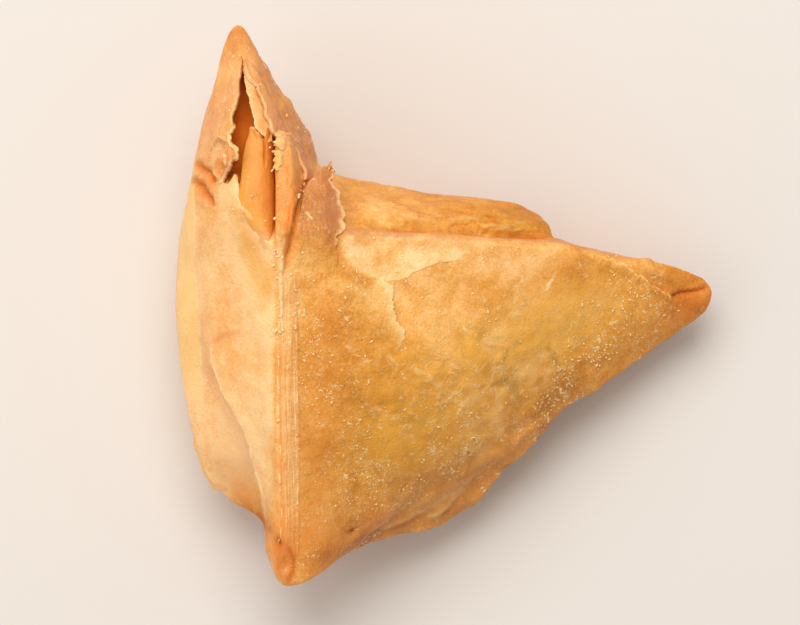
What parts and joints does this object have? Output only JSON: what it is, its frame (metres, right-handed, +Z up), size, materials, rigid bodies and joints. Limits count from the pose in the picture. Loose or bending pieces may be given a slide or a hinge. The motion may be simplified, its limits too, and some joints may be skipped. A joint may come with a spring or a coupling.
{
  "type": "samosa",
  "caption": "Fried three-cornered pastry lying on one flank, with a pinched rim along its wide end and one corner split open into flaky layers.",
  "frame": {"origin": "middle of the samosa's footprint box, on the surface it lies on", "axes": "+X towards the closed tip of the cone, +Y towards the split horn, +Z up"},
  "size_m": [0.0909, 0.0947, 0.0452],
  "materials": {
    "crust": "fried dough, golden with browner edges and a light oily sheen"
  },
  "bodies": {
    "root": {"pastry": "crust"}
  },
  "joints": []
}
